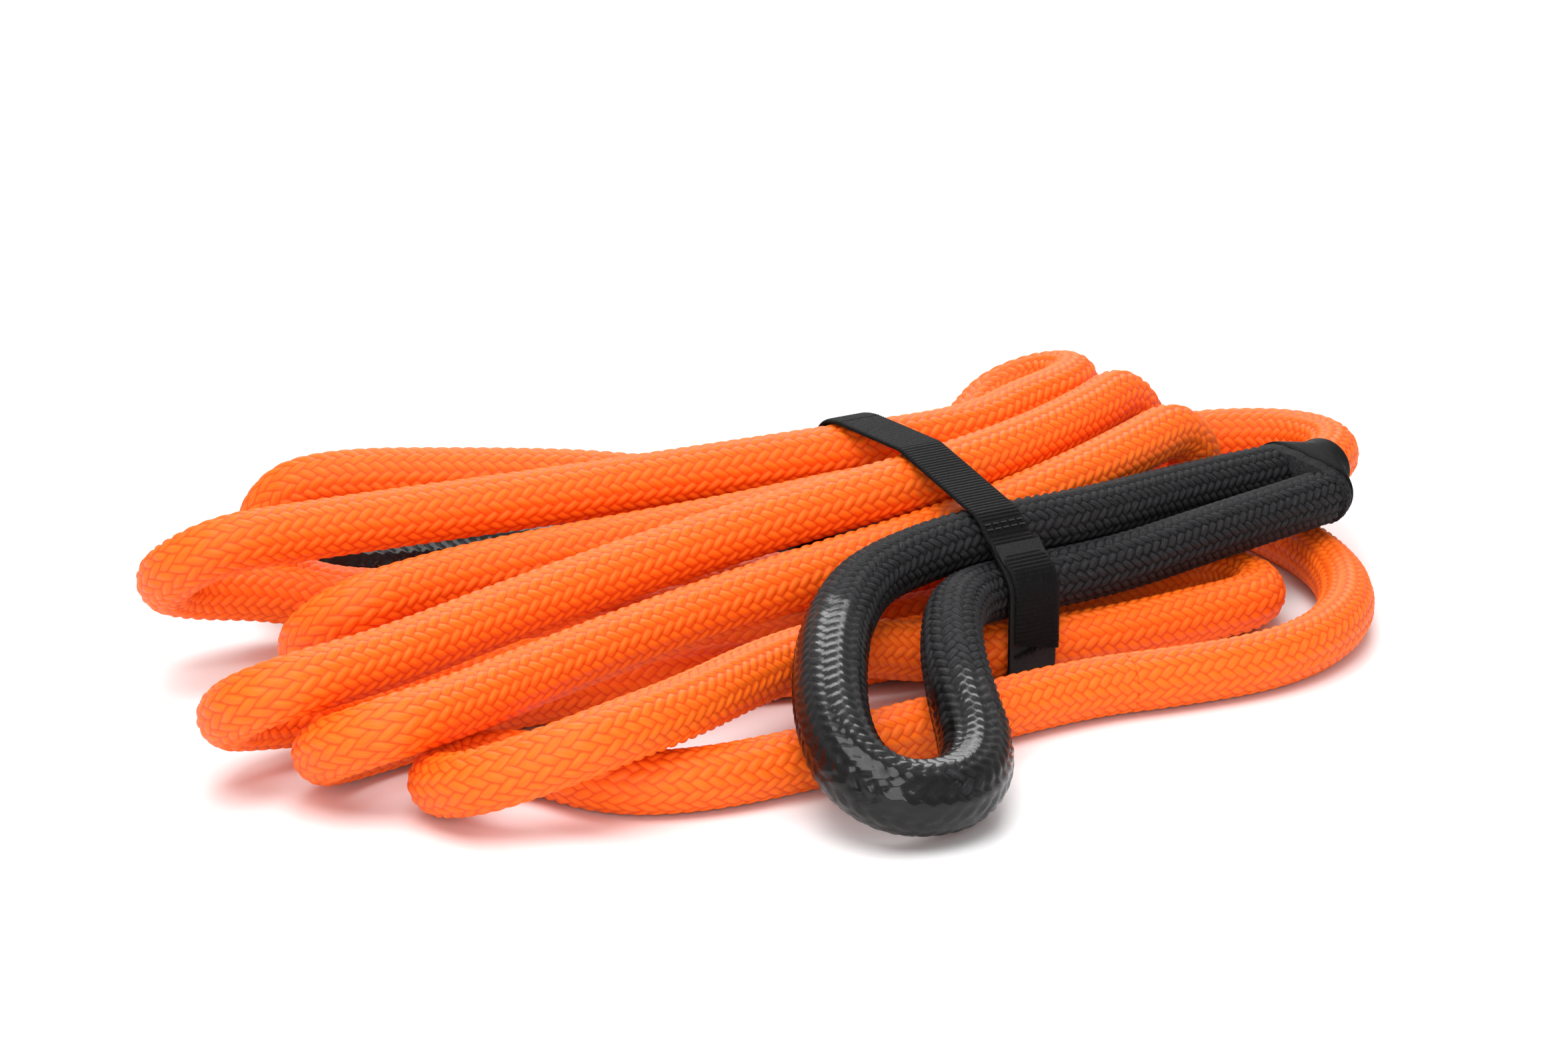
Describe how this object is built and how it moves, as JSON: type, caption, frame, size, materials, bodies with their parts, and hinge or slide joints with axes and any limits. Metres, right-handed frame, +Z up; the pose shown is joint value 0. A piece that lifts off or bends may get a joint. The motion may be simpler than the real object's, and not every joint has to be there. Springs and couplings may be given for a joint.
{
  "type": "recovery rope",
  "caption": "Thick double-braid rope with a spliced, coated eye at each end, folded into a hank and held by a hook-and-loop strap.",
  "frame": {"origin": "middle of the hank's footprint, on the surface it lies on", "axes": "+X along the hank towards the end with the throat of eye A, +Y away from the side where eye A hangs out, +Z up"},
  "size_m": [0.5285, 0.4137, 0.0814],
  "materials": {
    "orange_braid": "bright orange double-braid nylon, satin filaments",
    "core_braid": "undyed nylon braid",
    "black_braid": "matt grey-black nylon braid",
    "splice_braid": "matt black braid, tapered splice",
    "eye_coating": "glossy black coating over braid",
    "whipping_thread": "smooth black waxed thread",
    "strap_webbing": "black ribbed webbing",
    "hook_tape": "black hook tape",
    "pile_tape": "black pile tape",
    "sewing_thread": "black sewing thread"
  },
  "bodies": {
    "rope": {"eye_a_coating": "eye_coating", "eye_a_core": "core_braid", "eye_a_cover": "black_braid", "eye_a_throat": "splice_braid", "eye_a_whipping": "whipping_thread", "eye_b_coating": "eye_coating", "eye_b_core": "core_braid", "eye_b_cover": "black_braid", "eye_b_throat": "splice_braid", "eye_b_whipping": "whipping_thread", "rope_core": "core_braid", "rope_turn_1": "orange_braid", "rope_turn_2": "orange_braid", "rope_turn_3": "orange_braid", "rope_turn_4": "orange_braid", "rope_turn_5": "orange_braid", "rope_turn_6": "orange_braid", "rope_turn_7": "orange_braid", "rope_turn_8": "orange_braid", "strap_loop_patch": "pile_tape", "strap_stitching": "sewing_thread", "strap_webbing": "strap_webbing"},
    "strap_tail": {"strap_tail": "strap_webbing", "strap_hook_patch": "hook_tape"}
  },
  "joints": [
    {"name": "strap_peel", "type": "hinge", "parent": "rope", "child": "strap_tail", "pos_m": [0.03371, -0.08767, 0.06062], "axis": [1, 0, 0], "range_deg": [-120, 0]}
  ]
}
